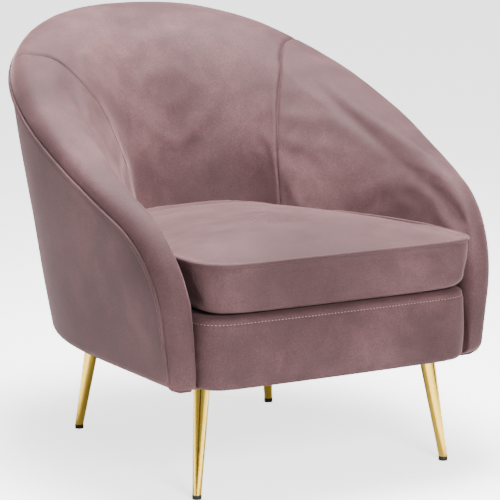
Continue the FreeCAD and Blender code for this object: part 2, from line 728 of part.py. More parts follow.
def leg(name, x_side, y_side, top_x, top_y):
    """Slanted steel leg: round, thinner at the foot, its feet further out than its top."""
    body = new_body("leg_" + name)
    out_x = "%d * Dims.leg_splay" % x_side
    out_y = "%d * Dims.leg_splay" % y_side
    foot = circle_sketch(body, "foot_" + name, "Dims.leg_foot_diameter", out_x, out_y,
                         "Dims.glide_height")
    head = circle_sketch(body, "head_" + name, "Dims.leg_top_diameter", "0", "0", PLATE_LEVEL)
    loft = body.newObject("PartDesign::AdditiveLoft", "taper_" + name)
    loft.Profile = foot
    loft.Sections = [head]
    place(body, "%d * %s" % (x_side, top_x), "%d * %s" % (y_side, top_y), "0")

    glide = new_body("glide_" + name)
    sketch = circle_sketch(glide, "glide_sketch_" + name, "Dims.glide_diameter", "0", "0", "0")
    pad(glide, "glide_pad_" + name, sketch, "Dims.glide_height")
    place(glide, "%d * (%s + Dims.leg_splay)" % (x_side, top_x),
          "%d * (%s + Dims.leg_splay)" % (y_side, top_y), "0")

    plate = new_body("leg_plate_" + name)
    square = rectangle(plate, "plate_sketch_" + name, "Dims.plate_size", "Dims.plate_size")
    blank = pad(plate, "plate_pad_" + name, square, "Dims.plate_thick")
    doc.recompute()
    upright = ["Edge%d" % (i + 1) for i, e in enumerate(blank.Shape.Edges)
               if e.BoundBox.ZLength > 0.5 * d("plate_thick")]
    fillet = plate.newObject("PartDesign::Fillet", "plate_round_" + name)
    fillet.Base = (blank, upright)
    fillet.setExpression("Radius", "Dims.plate_corner")
    holes = plate.newObject("Sketcher::SketchObject", "hole_sketch_" + name)
    holes.AttachmentSupport = [(origin_plane(plate, "XY_Plane"), "")]
    holes.MapMode = "FlatFace"
    half = 0.5 * d("screw_pitch")
    for i, (x, y) in enumerate(((1, 1), (-1, 1), (-1, -1), (1, -1))):
        holes.addGeometry(Part.Circle(V(x * half, y * half, 0), V(0, 0, 1), 2.5), False)
        for expression, kind in (("Dims.screw_hole", "Diameter"),
                                 ("%d * Dims.screw_pitch / 2" % x, "DistanceX"),
                                 ("%d * Dims.screw_pitch / 2" % y, "DistanceY")):
            if kind == "Diameter":
                index = holes.addConstraint(Sketcher.Constraint(kind, i, d("screw_hole")))
            else:
                value = (x if kind == "DistanceX" else y) * half
                index = holes.addConstraint(Sketcher.Constraint(kind, i, 3, value))
            holes.setExpression("Constraints[%d]" % index, expression)
    pocket = plate.newObject("PartDesign::Pocket", "hole_pocket_" + name)
    pocket.Profile = holes
    pocket.Type = "ThroughAll"
    pocket.Midplane = True
    place(plate, "%d * %s" % (x_side, top_x), "%d * %s" % (y_side, top_y), PLATE_LEVEL)


def screw(x, y):
    """Countersunk wood screw driven up through a leg plate."""
    low = d("frame_foot") - d("dust_cover") - d("plate_thick")
    radius = 0.5 * d("screw_hole") - 0.3
    depth = d("screw_head_height")
    head = Part.makeCone(0.5 * d("screw_head"), radius, depth, V(x, y, low - depth))
    shank = Part.makeCylinder(radius, d("plate_thick"), V(x, y, low))
    return head.fuse(shank).removeSplitter()


screws = []
for name, x_side, y_side, top_x, top_y in LEGS:
    leg(name, x_side, y_side, top_x, top_y)
    for x, y in ((1, 1), (-1, 1), (-1, -1), (1, -1)):
        screws.append(screw(x_side * d(top_x[5:]) + 0.5 * x * d("screw_pitch"),
                            y_side * d(top_y[5:]) + 0.5 * y * d("screw_pitch")))
part_feature("leg_screws", Part.Compound(screws))


# ---------------------------------------------------------------- checks and export
doc.recompute()
for item in doc.Objects:
    if "Invalid" in item.State or "Error" in item.State:
        raise SystemExit("failed object: %s %s" % (item.Label, item.State))
for label in PART_LABELS:
    shape = doc.getObjectsByLabel(label)[0].Shape
    if shape.isNull() or not shape.isValid() or not shape.Solids:
        raise SystemExit("bad shape: " + label)
for label in PART_LABELS:
    shape = doc.getObjectsByLabel(label)[0].Shape
    shape.exportStep("parts/%s.step" % label)
print("wrote", len(PART_LABELS), "sub-parts")
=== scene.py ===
import json
import math

import bpy
import numpy as np
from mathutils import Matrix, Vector, noise

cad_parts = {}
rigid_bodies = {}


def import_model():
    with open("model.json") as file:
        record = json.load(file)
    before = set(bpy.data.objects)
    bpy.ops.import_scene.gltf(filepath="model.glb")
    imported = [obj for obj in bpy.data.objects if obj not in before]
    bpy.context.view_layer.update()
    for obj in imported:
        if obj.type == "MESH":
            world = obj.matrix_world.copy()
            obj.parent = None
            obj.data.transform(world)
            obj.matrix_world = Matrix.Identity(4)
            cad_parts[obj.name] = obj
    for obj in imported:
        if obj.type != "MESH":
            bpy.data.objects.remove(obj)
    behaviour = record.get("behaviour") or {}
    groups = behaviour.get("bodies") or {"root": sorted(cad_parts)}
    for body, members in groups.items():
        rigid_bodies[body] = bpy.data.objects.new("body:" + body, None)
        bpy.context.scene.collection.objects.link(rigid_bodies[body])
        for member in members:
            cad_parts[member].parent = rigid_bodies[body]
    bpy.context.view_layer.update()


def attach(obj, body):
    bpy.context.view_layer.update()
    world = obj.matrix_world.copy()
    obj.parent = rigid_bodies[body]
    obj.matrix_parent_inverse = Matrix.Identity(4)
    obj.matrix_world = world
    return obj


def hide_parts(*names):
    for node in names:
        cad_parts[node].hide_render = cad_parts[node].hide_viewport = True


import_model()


# ---------------------------------------------------------------- velvet
# The chair is covered in dusty mauve velvet: a dense short pile that is dark where it is
# seen straight on, pale where light grazes it, and mottled where hands have brushed it.
def linear(colour):
    """A colour written as sRGB hex, as linear RGBA."""
    parts = [int(colour[i:i + 2], 16) / 255.0 for i in (1, 3, 5)]
    return [(c / 12.92 if c < 0.04045 else ((c + 0.055) / 1.055) ** 2.4) for c in parts] + [1.0]


def new_material(name):
    """A node material, its tree and its main shader."""
    material = bpy.data.materials.new(name)
    material.use_nodes = True
    return material, material.node_tree, material.node_tree.nodes["Principled BSDF"]


def add(tree, kind, settings=None, **links):
    """Adds a node. Each link or value goes to the input of that name, with _ for a
    space, or of that number after a _."""
    node = tree.nodes.new(kind)
    for key, value in (settings or {}).items():
        setattr(node, key, value)
    for key, value in links.items():
        place = int(key[1:]) if key[1:].isdigit() else key.replace("_", " ")
        socket = node.inputs[place]
        if isinstance(value, bpy.types.NodeSocket):
            tree.links.new(value, socket)
        else:
            socket.default_value = value
    return node


def velvet(name, dark, mid, light):
    """Velvet whose pile runs from dark to light in soft clouds."""
    material, tree, shader = new_material(name)
    place = add(tree, "ShaderNodeTexCoord").outputs["Object"]
    # clouds of brushed pile a hand wide, with smudges a finger wide inside them; real
    # tufts are finer than a millimetre, and are drawn about 2 mm apart so that they show
    clouds = add(tree, "ShaderNodeTexNoise", Vector=place, Scale=5.5, Detail=2.5,
                 Roughness=0.5, Distortion=0.35).outputs["Fac"]
    smudges = add(tree, "ShaderNodeTexNoise", Vector=place, Scale=26.0, Detail=4.0,
                  Roughness=0.6, Distortion=0.6).outputs["Fac"]
    pile = add(tree, "ShaderNodeTexNoise", Vector=place, Scale=430.0, Detail=3.0,
               Roughness=0.7).outputs["Fac"]
    nap = -0.30
    for layer, weight in ((pile, 0.60), (smudges, 0.34), (clouds, 0.66)):
        nap = add(tree, "ShaderNodeMath", {"operation": "MULTIPLY_ADD"},
                  _0=layer, _1=weight, _2=nap).outputs[0]
    ramp = add(tree, "ShaderNodeValToRGB", Fac=nap)
    ramp.color_ramp.elements[0].position = 0.18
    ramp.color_ramp.elements[0].color = linear(dark)
    ramp.color_ramp.elements[1].position = 0.84
    ramp.color_ramp.elements[1].color = linear(light)
    ramp.color_ramp.elements.new(0.50).color = linear(mid)
    tree.links.new(ramp.outputs["Color"], shader.inputs["Base Color"])
    rough = add(tree, "ShaderNodeMapRange", Value=smudges, To_Min=0.60, To_Max=0.85).outputs[0]
    tree.links.new(rough, shader.inputs["Roughness"])
    bump = add(tree, "ShaderNodeBump", Height=pile, Strength=0.30, Distance=0.0006)
    soft = add(tree, "ShaderNodeBump", Height=smudges, Strength=0.10, Distance=0.003,
               Normal=bump.outputs["Normal"])
    tree.links.new(soft.outputs["Normal"], shader.inputs["Normal"])
    shader.inputs["Sheen Weight"].default_value = 0.40
    shader.inputs["Sheen Roughness"].default_value = 0.30
    shader.inputs["Sheen Tint"].default_value = linear("#DDB2B4")
    shader.inputs["Specular IOR Level"].default_value = 0.15
    return material


mauve = velvet("mauve_velvet", "#2E1D1F", "#453032", "#624648")


# ---------------------------------------------------------------- curved wall
# The padded wall is one curved shell. In plan it is a rounded horseshoe that flares
# upward; its rim falls in a straight slope from the back to a rounded arm front.
BASE = 0.205                     # foot of the velvet, on top of the legs
TOP = 0.800                      # level where the plan has its upper size
HALF_WIDTHS = (0.329, 0.429)     # at the foot and at the top
REARS = (0.301, 0.445)
SQUARENESS = (3.1, 2.4)
ARM_FRONT = 0.372
BEND = 0.164                     # how far forward the round back runs into straight arms
TOE_IN = 0.031
RIM_HEIGHT = 0.596               # of the sloping rim, where it passes the chair's middle
RIM_SLOPE = 0.41
RIM_CORNER = 0.178               # radius of the rim over an arm's front
LEAN = math.atan(RIM_SLOPE)
CORNER_Y = RIM_CORNER - ARM_FRONT
CORNER_Z = RIM_HEIGHT + RIM_SLOPE * CORNER_Y - RIM_CORNER / math.cos(LEAN)
ROLL_RISE = 0.036                # the padded roll above and before the cord
ROLL_FRONT = 0.028
ROLL_HALF = 0.038
WALL_DEPTHS = (0.025, 0.160)     # padding at the arm fronts and at the back
FULL_DEPTH_ROW = 0.282
BELLY = 0.28                     # drop in which the wall swells to its full thickness
SWELL = 0.435
HEM = 0.022
BOX_SIDE = 0.2825
SEAM = 0.525                     # station of the seams between the back and the arms
PROBE = 0.56                     # level at which lengths and directions are taken


def mix(low, high, share):
    """The value a share of the way from low to high."""
    return low + (high - low) * share


def outer_face(station, level):
    """Points of the outer face. Stations -1 to 1 run round the back, and beyond them to
    -2 and 2 forward along an arm to the cord at its front."""
    station, level = np.broadcast_arrays(np.asarray(station, float), np.asarray(level, float))
    share = (level - BASE) / (TOP - BASE)
    half = mix(*HALF_WIDTHS, share)
    rear = mix(*REARS, share)
    power = mix(*SQUARENESS, share)
    side = np.where(station > 0, 1.0, -1.0)
    forward = np.clip(np.abs(station) - 1.0, 0.0, None) * (ARM_FRONT - BEND)
    toe_in = TOE_IN * share * (forward / (ARM_FRONT - BEND)) ** 2
    angle = np.clip(station, -1.0, 1.0) * math.pi / 2.0
    across, along = np.abs(np.sin(angle)), np.abs(np.cos(angle))
    reach = (across ** power + along ** power) ** (-1.0 / power)
    on_arm = np.abs(station) > 1.0
    x = np.where(on_arm, half - toe_in, half * across * reach)
    y = np.where(on_arm, -BEND - forward, -BEND + (rear + BEND) * along * reach)
    return np.stack([side * x, y, level], axis=-1)


def inward(station):
    """Horizontal direction from the outer face into the seat."""
    station = np.asarray(station, float)
    middle = np.clip(station, -0.99, 0.99)
    run = outer_face(middle - 0.01, PROBE) - outer_face(middle + 0.01, PROBE)
    turned = np.stack([-run[..., 1], run[..., 0], np.zeros(station.shape)], axis=-1)
    turned /= np.linalg.norm(turned, axis=-1, keepdims=True)
    arm = np.stack([-np.sign(station), 0 * station, 0 * station], axis=-1)
    blend = np.clip((np.abs(station) - 0.94) / 0.12, 0.0, 1.0)[..., None]
    mixed = turned * (1.0 - blend) + arm * blend
    return mixed / np.linalg.norm(mixed, axis=-1, keepdims=True)


def rim_height(station):
    """Level of the rim cord above a station."""
    station = np.abs(np.asarray(station, float))
    level = np.full(station.shape, RIM_HEIGHT)
    for _ in range(12):
        y = outer_face(station, level)[..., 1]
        level = RIM_HEIGHT + RIM_SLOPE * y
    arc = CORNER_Z + np.sqrt(np.clip(RIM_CORNER ** 2 - (y - CORNER_Y) ** 2, 0.0, None))
    return np.where(y < CORNER_Y - RIM_CORNER * math.sin(LEAN), arc, level)


def rim_path(step):
    """Stations, levels and upward directions along the rim cord, from the foot of the
    right arm's front, round the back, to the foot of the left arm's front."""
    upright = np.linspace(BASE, CORNER_Z, int((CORNER_Z - BASE) / step) + 1)[:-1]
    rows = [(-ARM_FRONT, z, -1.0, 0.0) for z in upright]
    turn = np.linspace(0.0, math.pi / 2.0 - LEAN, int(RIM_CORNER * 1.2 / step) + 1)[:-1]
    rows += [(CORNER_Y - RIM_CORNER * math.cos(a), CORNER_Z + RIM_CORNER * math.sin(a),
              -math.cos(a), math.sin(a)) for a in turn]
    first = CORNER_Y - RIM_CORNER * math.sin(LEAN)
    arm = np.linspace(first, -BEND, int((-BEND - first) / step) + 1)[:-1]
    rows += [(y, RIM_HEIGHT + RIM_SLOPE * y, -math.sin(LEAN), math.cos(LEAN)) for y in arm]
    arm_rows = np.array(rows)
    station = 1.0 + (-arm_rows[:, 0] - BEND) / (ARM_FRONT - BEND)
    back = np.linspace(1.0, 0.0, int(0.75 / step) + 1)
    # columns crowd together at the seam, so that its valley stays sharp
    beside = np.array([0.003, 0.007, 0.012, 0.019, 0.028])
    near = SEAM + np.concatenate([-beside[::-1], [0.0], beside])
    clear = back[np.abs(back - SEAM) > 0.031]
    back = np.sort(np.concatenate([clear, near]))[::-1]
    eased = np.clip((back - 0.55) / 0.45, 0.0, 1.0)
    lean = -math.sin(LEAN) * eased
    station = np.concatenate([station, back])
    level = np.concatenate([arm_rows[:, 1], rim_height(back)])
    up_y = np.concatenate([arm_rows[:, 2], lean])
    up_z = np.concatenate([arm_rows[:, 3], np.sqrt(1.0 - lean ** 2)])
    mirror = slice(-2, None, -1)
    station = np.concatenate([station, -station[mirror]])
    return station, *(np.concatenate([half, half[mirror]]) for half in (level, up_y, up_z))


def hem_inset(level):
    """How far a face draws in where it rolls under at the foot of the chair."""
    left = np.clip(HEM - (level - BASE), 0.0, HEM)
    return HEM - np.sqrt(np.clip(HEM ** 2 - left ** 2, 0.0, None))


def grid_mesh(name, points, material):
    """Smooth quad mesh over a grid of points (columns, rows, 3)."""
    columns, rows = points.shape[:2]
    index = np.arange(columns * rows).reshape(columns, rows)
    faces = np.stack([index[:-1, :-1], index[1:, :-1], index[1:, 1:], index[:-1, 1:]], axis=-1)
    return soft_mesh(name, points.reshape(-1, 3), faces.reshape(-1, 4).tolist(), material)


def soft_mesh(name, points, faces, material):
    """A smooth-shaded object from points and lists of point numbers."""
    mesh = bpy.data.meshes.new(name)
    mesh.from_pydata(points.tolist(), [], faces)
    mesh.polygons.foreach_set("use_smooth", [True] * len(mesh.polygons))
    mesh.materials.append(material)
    mesh.update()
    piece = bpy.data.objects.new(name, mesh)
    bpy.context.scene.collection.objects.link(piece)
    return piece


def ripple(points, size, seed):
    """Smooth noise in -1..1 at each point, with bumps about size across."""
    flat = points.reshape(-1, 3) / size + seed
    values = [noise.noise(Vector(p)) for p in flat]
    return np.array(values).reshape(points.shape[:-1])


def ring_faces(index):
    """Quads between neighbouring rings of point numbers, each ring closed on itself."""
    over = np.concatenate([index, index[:, :1]], axis=1)
    faces = np.stack([over[:-1, :-1], over[:-1, 1:], over[1:, 1:], over[1:, :-1]], axis=-1)
    return faces.reshape(-1, 4).tolist()


def tube(name, path, radius, material, sides=12, closed=False):
    """A round cord along a path of points."""
    path = np.asarray(path, float)
    if closed:
        run = np.roll(path, -1, axis=0) - np.roll(path, 1, axis=0)
    else:
        run = np.gradient(path, axis=0)
    run /= np.linalg.norm(run, axis=-1, keepdims=True)
    normal = np.empty_like(run)
    side = np.cross(run[0], [0.0, 0.0, 1.0])
    if np.linalg.norm(side) < 0.2:
        side = np.cross(run[0], [0.0, 1.0, 0.0])
    for i, along in enumerate(run):
        side = side - along * np.dot(side, along)
        side /= np.linalg.norm(side)
        normal[i] = side
    other = np.cross(run, normal)
    turns = np.linspace(0.0, 2.0 * math.pi, sides, endpoint=False)
    ring = (path[:, None] + radius * (normal[:, None] * np.cos(turns)[:, None]
                                      + other[:, None] * np.sin(turns)[:, None]))
    index = np.arange(len(path) * sides).reshape(len(path), sides)
    if closed:
        index = np.concatenate([index, index[:1]])
    return soft_mesh(name, ring.reshape(-1, 3), ring_faces(index), material)


def coordinates(mesh):
    """The mesh's points as an array."""
    flat = np.empty(len(mesh.vertices) * 3)
    mesh.vertices.foreach_get("co", flat)
    return flat.reshape(-1, 3)


def move_points(piece, shift):
    """Moves each point of the piece by its own shift."""
    piece.data.vertices.foreach_set("co", (coordinates(piece.data) + shift).ravel())
    piece.data.update()


CLOTH_FRAMES = 20


def settle(piece, held, pressure, cap, ease=0.0):
    """Cloth pass: the cover swells between the points where it is held, by no more than
    cap; ease is how much looser than its frame it is cut."""
    start = coordinates(piece.data)
    group = piece.vertex_groups.new(name="held")
    group.add([int(i) for i in held], 1.0, "REPLACE")
    cloth = piece.modifiers.new("cloth", "CLOTH")
    settings = cloth.settings
    settings.quality = 6
    settings.mass = 0.25
    settings.air_damping = 3.0
    settings.tension_stiffness = 18.0
    settings.compression_stiffness = 18.0
    settings.shear_stiffness = 8.0
    settings.bending_stiffness = 1.2
    settings.use_pressure = True
    settings.uniform_pressure_force = pressure
    settings.shrink_min = -ease
    settings.vertex_group_mass = "held"
    settings.effector_weights.gravity = 0.0
    cloth.collision_settings.use_collision = False
    cloth.point_cache.frame_start = 1
    cloth.point_cache.frame_end = CLOTH_FRAMES
    for frame_number in range(1, CLOTH_FRAMES + 1):
        bpy.context.scene.frame_set(frame_number)
    settled = piece.evaluated_get(bpy.context.evaluated_depsgraph_get())
    shift = coordinates(settled.data) - start
    piece.modifiers.remove(cloth)
    piece.vertex_groups.remove(group)
    bpy.context.scene.frame_set(1)
    length = np.linalg.norm(shift, axis=-1, keepdims=True)
    shift *= np.minimum(1.0, cap / np.maximum(length, 1e-9))
    move_points(piece, np.nan_to_num(shift))


def lengths_along(path):
    """Distance along a path from its first point to each of its points."""
    steps = np.linalg.norm(np.diff(path, axis=0), axis=-1)
    return np.concatenate([[0.0], np.cumsum(steps)])


STATIONS = np.linspace(0.0, 2.0, 201)
LENGTHS = lengths_along(outer_face(STATIONS, PROBE))


def slid(station, length):
    """The station reached by going a length forward along the outer face."""
    ahead = np.interp(np.abs(station), STATIONS, LENGTHS) + length
    return np.sign(station) * np.interp(ahead, LENGTHS, STATIONS)


def wall_depth(y):
    """How much thicker than the roll the wall gets below its crest."""
    front = ARM_FRONT + ROLL_FRONT
    share = np.clip((y + front) / (front + FULL_DEPTH_ROW), 0.0, 1.0)
    return mix(*WALL_DEPTHS, np.sin(math.pi / 2.0 * share) ** 1.7)


def belly_drop(height):
    """How far below its crest a wall of this height reaches its full thickness."""
    return np.minimum(BELLY, height * (0.2 + height / 1.2))


def thickness(depth, share):
    """Thickness of the padded wall a share of the way down its belly."""
    return ROLL_HALF + depth * (1.0 - (1.0 - share) ** 2) ** SWELL


def wall_surface(step, roll_rows=9, face_rows=46):
    """Grid over the padded roll and inner face: columns along the rim, rows across it."""
    station, level, up_y, up_z = rim_path(step)
    inset = hem_inset(level)
    across = inward(station)
    cord = outer_face(station, level) + across * inset[:, None]
    up = np.stack([0 * up_y, up_y, up_z], axis=-1)
    on_back = np.abs(station) < 1.0
    up[on_back] -= across[on_back] * np.sum(up[on_back] * across[on_back], axis=-1, keepdims=True)
    up /= np.linalg.norm(up, axis=-1, keepdims=True)
    front = np.clip(-up_y, 0.0, 1.0)
    under = np.clip(HEM - (level - BASE), 0.0, HEM) / HEM
    foot = np.sqrt(np.clip(1.0 - under ** 2, 0.0, 1.0))
    rise = mix(ROLL_RISE, ROLL_FRONT, np.clip(front * 1.5 - 0.5, 0.0, 1.0))
    rise = rise * np.maximum(foot, 0.12)
    belly = belly_drop(np.maximum(level + ROLL_RISE - BASE, 0.13))
    depth = wall_depth(cord[:, 1])
    room = np.abs(cord[:, 0]) - BOX_SIDE - ROLL_HALF
    fitted = mix(depth, np.minimum(depth, room), front ** 0.7)
    depth = np.where(np.abs(station) > 1.0, fitted, depth)
    reach = np.clip((level + rise - 0.335) / np.maximum(up_z, 0.3), 0.16, None)
    arm_ease = np.clip((np.abs(station) - 0.80) / 0.70, 0.0, 1.0)
    beside_seam = np.clip((np.abs(station) - SEAM) / 0.46, -1.0, 1.0)
    seam_ease = np.cos(beside_seam * math.pi / 2.0) ** 2
    columns = [cord + across * 0.005 - up * 0.004]
    for turn in np.radians(np.linspace(6.0, 90.0, roll_rows)):
        over = across * (ROLL_HALF * (1.0 - math.cos(turn)))
        columns.append(cord + over + up * (rise * math.sin(turn))[:, None])
    for i in range(1, face_rows + 1):
        below = reach * (i / face_rows) ** 1.35
        thick = thickness(depth, np.minimum(below / belly, 1.0))
        lift = np.clip(rise - below, 0.0, None)
        drop = np.clip(below - rise, 0.0, None)
        push = 0.034 * np.clip(below / 0.05, 0.0, 1.0) + 0.100 * np.clip(drop / 0.28, 0.0, 1.0)
        moved = slid(station, drop * up_y * arm_ease + push * seam_ease)
        low = level - drop * up_z
        base = outer_face(moved, low) + inward(moved) * (thick + inset)[:, None]
        columns.append(base + up * lift[:, None])
    return np.stack(columns, axis=1), station, level


# ---------------------------------------------------------------- rim cord
# A velvet-covered cord is sewn between the outside and the inside covers. It edges the
# whole rim, runs down both arm fronts and turns under them to the seat box.
def foot_turn(side):
    """The cord's run under an arm's front, from its outer corner to the seat box."""
    start = outer_face(side * 2.0, BASE)[0] - side * HEM
    end = side * (BOX_SIDE + 0.003)
    return [(mix(start, end, t), -ARM_FRONT, BASE) for t in np.linspace(0.15, 1.0, 9)]


wall, stations, levels = wall_surface(0.0055)
rim_line = outer_face(stations, levels) + inward(stations) * hem_inset(levels)[:, None]
rim_line = np.concatenate([foot_turn(1.0)[::-1], rim_line, foot_turn(-1.0)])
rim_cord = tube("rim_cord", rim_line, 0.0041, mauve)
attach(rim_cord, "frame")
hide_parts("rim_welt")

# ---------------------------------------------------------------- inside covers
# The inside back and the two inside arms are cut apart and sewn together along seams
# that run down from the rim. Each is stretched over foam and drawn into its seams.
seam_gap = np.interp(np.abs(stations), STATIONS, LENGTHS) - np.interp(SEAM, STATIONS, LENGTHS)
seam_gap = np.abs(seam_gap)
rows = wall.shape[1]
shares = np.linspace(0.0, 1.0, rows)
normals = np.cross(np.gradient(wall, axis=0), np.gradient(wall, axis=1))
normals /= np.maximum(np.linalg.norm(normals, axis=-1, keepdims=True), 1e-9)
facing = np.sign(np.sum(normals[:, rows // 2] * inward(stations), axis=-1))
normals *= facing[:, None, None]
below_rim = np.clip((shares - 0.10) / 0.10, 0.0, 1.0)
valley = 0.007 * np.exp(-(seam_gap / 0.0045) ** 1.4)[:, None] * below_rim[None]
pucker = 0.0006 * np.exp(-seam_gap / 0.014)[:, None] * np.clip((shares - 0.2) / 0.1, 0.0, 1.0)[None]
pucker = pucker * ripple(wall * [0.25, 0.25, 1.0], 0.016, 3.1)
loose = 0.0014 * ripple(wall, 0.11, 1.7) + 0.0004 * ripple(wall, 0.035, 9.2)
loose *= np.clip(shares / 0.1, 0.0, 1.0)[None]
# a few small folds where the cloth is drawn round the roll of each arm
run = lengths_along(outer_face(stations, levels))
folds = np.zeros(wall.shape[:2])
for centre_station, width in ((-1.28, 0.030), (1.86, 0.022)):
    centre = run[np.argmin(np.abs(stations - centre_station))]
    near = np.exp(-((run - centre) / width) ** 2)[:, None]
    near = near * np.exp(-((shares - 0.11) / 0.05) ** 2)[None]
    waves = np.sin(2.0 * math.pi * (run[:, None] / 0.013 + 5.0 * shares[None]))
    folds += 0.0013 * near * waves
detail = normals * (loose + pucker + folds - valley)[..., None]
cuts = np.flatnonzero(np.isclose(np.abs(stations), SEAM))
pads = (("arm_right_velvet", slice(0, cuts[0] + 1), "right"),
        ("back_velvet", slice(cuts[0], cuts[1] + 1), None),
        ("arm_left_velvet", slice(cuts[1], None), "left"))
for name, part, side in pads:
    points = wall[part]
    piece = grid_mesh(name, points, mauve)
    sample = piece.data.polygons[len(piece.data.polygons) // 2].normal
    if sample.dot((points[len(points) // 2, rows // 2, 0], 1.0, 0.0)) > 0.0:
        piece.data.flip_normals()
    index = np.arange(points.shape[0] * rows).reshape(points.shape[:2])
    held = np.concatenate([index[:, :3].ravel(), index[:, -2:].ravel(), index[0], index[-1]])
    settle(piece, np.unique(held), 1.0, 0.005)
    move_points(piece, detail[part].reshape(-1, 3))
    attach(piece, "frame")
    if side:
        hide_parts("arm_cover_" + side, "arm_pad_" + side, "arm_front_pad_" + side)
    else:
        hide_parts("back_cover", "back_pad")


# ---------------------------------------------------------------- outside
# One stretched skin round the outside of the arms and back. It is tacked under the
# frame over a soft rounded hem, and its upper edge is sewn to the rim cord.
arm_columns = 1.0 + np.sin(np.linspace(math.pi / 2.0, 0.0, 60))
columns = np.concatenate([arm_columns, np.linspace(1.0, 0.0, 110)[1:]])
columns = np.concatenate([columns, -columns[-2::-1]])
tops = rim_height(columns)
hem_levels = BASE + HEM * (1.0 - np.cos(np.linspace(0.0, math.pi / 2.0, 10)))
ups = np.array([np.concatenate([hem_levels, np.linspace(BASE + HEM, top - 0.002, 60)[1:]])
                for top in tops])
inwards = inward(columns)[:, None]
skin = outer_face(columns[:, None], ups)
drawn = hem_inset(ups)
drawn[:, -1] = 0.004
skin = skin + inwards * drawn[..., None]
turned_under = skin[:, :1] + inwards * 0.030
skin = np.concatenate([turned_under, skin], axis=1)
below_cord = np.clip((tops[:, None] - skin[..., 2]) / 0.05, 0.0, 1.0)
skin = skin - inwards * (0.0016 * ripple(skin, 0.14, 4.4) * below_cord)[..., None]
outside = grid_mesh("outside_velvet", skin, mauve)
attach(outside, "frame")
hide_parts("outside_cover")


# ---------------------------------------------------------------- seat box
# The front of the seat is a padded box between the arms, with soft edges and a row of
# light topstitching just under its upper edge.
BOX_FRONT = 0.420
BOX_HALF = 0.2795
BOX_REAR = 0.355
BOX_TOP = 0.337
BOX_CORNER = 0.050
BOX_BOW = 0.006
BOX_EDGE = 0.013                 # radius of its soft upper and lower edges
STITCH = BOX_TOP - 0.0125


def box_plan(step):
    """Up the right side of the box, round its two corners, down the left side."""
    side = np.linspace(-BOX_REAR, BOX_CORNER - BOX_FRONT,
                       max(int((BOX_FRONT - BOX_CORNER - BOX_REAR) / step), 3))
    turn = np.linspace(0.0, math.pi / 2.0, int(BOX_CORNER * 1.6 / step) + 2)
    flat = BOX_HALF - BOX_CORNER
    run = np.linspace(flat, -flat, int(2.0 * flat / step))
    right = [(BOX_HALF, y) for y in side]
    right += [(flat + BOX_CORNER * math.cos(t), BOX_CORNER - BOX_FRONT - BOX_CORNER * math.sin(t))
              for t in turn[1:]]
    middle = [(x, -BOX_FRONT - BOX_BOW * (1.0 - (x / BOX_HALF) ** 2)) for x in run[1:-1]]
    left = [(-x, y) for x, y in reversed(right)]
    return np.array(right + middle + left)


def outward_of(path, run, centre):
    """Horizontal directions square to a path's run, away from a centre."""
    across = np.stack([run[:, 1], -run[:, 0]], axis=-1)
    across /= np.linalg.norm(across, axis=-1, keepdims=True)
    return across * np.sign(np.sum(across * (path - centre), axis=-1, keepdims=True))


plan = box_plan(0.006)
outward = outward_of(plan, np.gradient(plan, axis=0), [0.0, -0.30])
quarter = np.linspace(0.0, math.pi / 2.0, 8)
profile = [(-0.060, BASE), (-0.035, BASE)]
profile += [(BOX_EDGE * (math.sin(t) - 1.0), BASE + BOX_EDGE * (1.0 - math.cos(t)))
            for t in quarter]
profile += [(0.0, z) for z in np.linspace(BASE + BOX_EDGE, BOX_TOP - BOX_EDGE, 40)[1:-1]]
profile += [(BOX_EDGE * (math.cos(t) - 1.0), BOX_TOP - BOX_EDGE * (1.0 - math.sin(t)))
            for t in quarter]
profile += [(-0.030, BOX_TOP - 0.001), (-0.060, BOX_TOP - 0.004)]
profile = np.array(profile)
box = np.zeros((len(plan), len(profile), 3))
box[..., :2] = plan[:, None] + outward[:, None] * profile[None, :, :1]
box[..., 2] = profile[None, :, 1]
share = np.clip((profile[:, 1] - BASE) / (BOX_TOP - BASE), 0.0, 1.0)
full = 0.0035 * np.sin(math.pi * share) ** 0.7
crease = -0.0016 * np.exp(-((profile[:, 1] - STITCH) / 0.003) ** 2)
crease[profile[:, 0] < -0.02] = 0.0
push = full + crease + 0.0016 * ripple(box, 0.07, 6.6) * np.sin(math.pi * share)
box[..., :2] += outward[:, None] * push[..., None]
border = grid_mesh("border_velvet", box, mauve)
index = np.arange(box.shape[0] * box.shape[1]).reshape(box.shape[:2])
stitch_row = int(np.argmin(np.abs(profile[:, 1] - STITCH) + (profile[:, 0] < -0.02)))
held = np.concatenate([index[:, :6].ravel(), index[:, stitch_row - 1:].ravel(),
                       index[0], index[-1]])
if border.data.polygons[len(border.data.polygons) // 2].normal.y > 0.0:
    border.data.flip_normals()
settle(border, np.unique(held), 1.2, 0.004, 0.001)
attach(border, "frame")
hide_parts("border_cover", "border_foam")

# thick topstitching thread, twisted and a little paler than the velvet
thread, tree, shader = new_material("pale_mauve_thread")
place = add(tree, "ShaderNodeTexCoord").outputs["Object"]
twist = add(tree, "ShaderNodeTexWave", {"wave_type": "BANDS", "bands_direction": "DIAGONAL"},
            Vector=place, Scale=900.0, Distortion=0.4).outputs["Fac"]
shade = add(tree, "ShaderNodeValToRGB", Fac=twist)
shade.color_ramp.elements[0].color = linear("#6E5659")
shade.color_ramp.elements[1].color = linear("#957B7F")
tree.links.new(shade.outputs["Color"], shader.inputs["Base Color"])
shader.inputs["Roughness"].default_value = 0.6


